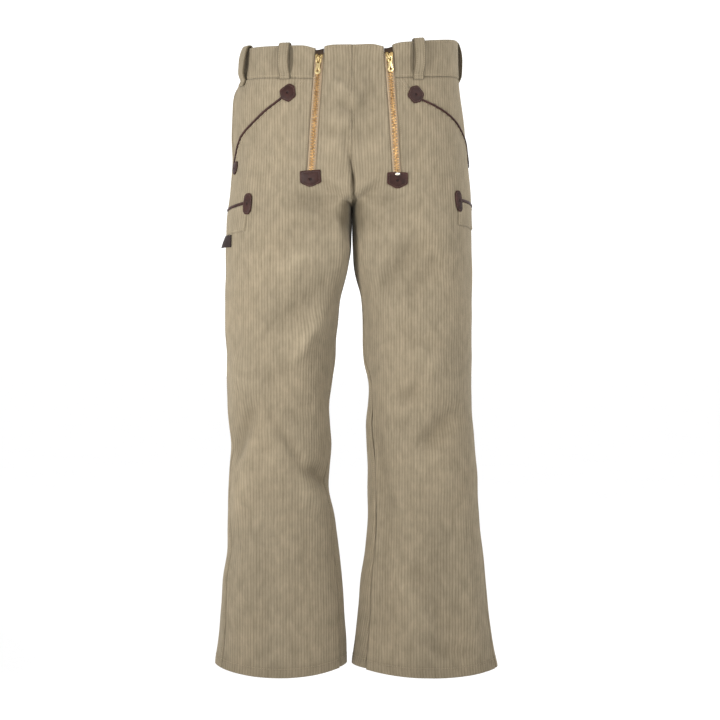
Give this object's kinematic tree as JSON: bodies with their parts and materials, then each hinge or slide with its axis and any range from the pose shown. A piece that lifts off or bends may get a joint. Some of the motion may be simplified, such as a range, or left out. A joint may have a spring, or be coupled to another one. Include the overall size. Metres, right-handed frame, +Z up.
{
  "type": "work trousers",
  "caption": "Hollow, filled-out bell-bottomed work trousers of wide-wale corduroy with front zips, leather-trimmed slant pockets and rule pockets.",
  "frame": {"origin": "middle of the waistband, where the wearer's hips hold the garment up", "axes": "+Z up along the legs, the front faces -Y, +X towards the wearer's left"},
  "size_m": [0.4826, 0.2447, 1.0905],
  "materials": {
    "corduroy": "wide-wale cotton corduroy with a soft cut pile",
    "leather": "smooth dark brown leather",
    "zip_tape": "woven tan tape",
    "brass": "polished",
    "label": "plain dark folded tape"
  },
  "bodies": {
    "garment": {"front_left": "corduroy", "front_right": "corduroy", "back_left": "corduroy", "back_right": "corduroy", "pocket_facing_left": "corduroy", "pocket_facing_right": "corduroy", "waistband_left": "corduroy", "waistband_right": "corduroy", "rule_pocket_left": "corduroy", "rule_pocket_right": "corduroy", "belt_loop_front_left": "corduroy", "belt_loop_front_right": "corduroy", "belt_loop_side_left": "corduroy", "belt_loop_side_right": "corduroy", "belt_loop_back_left": "corduroy", "belt_loop_back_right": "corduroy", "zip_left": "zip_tape", "zip_right": "zip_tape", "zip_slider_left": "brass", "zip_slider_right": "brass", "zip_end_patch_left": "leather", "zip_end_patch_right": "leather", "pocket_patch_upper_left": "leather", "pocket_patch_upper_right": "leather", "pocket_patch_lower_left": "leather", "pocket_patch_lower_right": "leather", "pocket_piping_left": "leather", "pocket_piping_right": "leather", "rule_pocket_patch_left": "leather", "rule_pocket_patch_right": "leather", "rule_pocket_piping_left": "leather", "rule_pocket_piping_right": "leather", "side_label": "label"},
    "pull_left": {"zip_pull_left": "brass"},
    "pull_right": {"zip_pull_right": "brass"}
  },
  "joints": [
    {"name": "pull_left_hinge", "type": "hinge", "parent": "garment", "child": "pull_left", "pos_m": [0.05927, -0.0979, -0.00985], "axis": [-0.9892, -0.1297, -0.0681], "range_deg": [0, 165]},
    {"name": "pull_right_hinge", "type": "hinge", "parent": "garment", "child": "pull_right", "pos_m": [-0.05924, -0.09815, -0.0128], "axis": [-0.9896, 0.1246, 0.0713], "range_deg": [0, 165]}
  ]
}
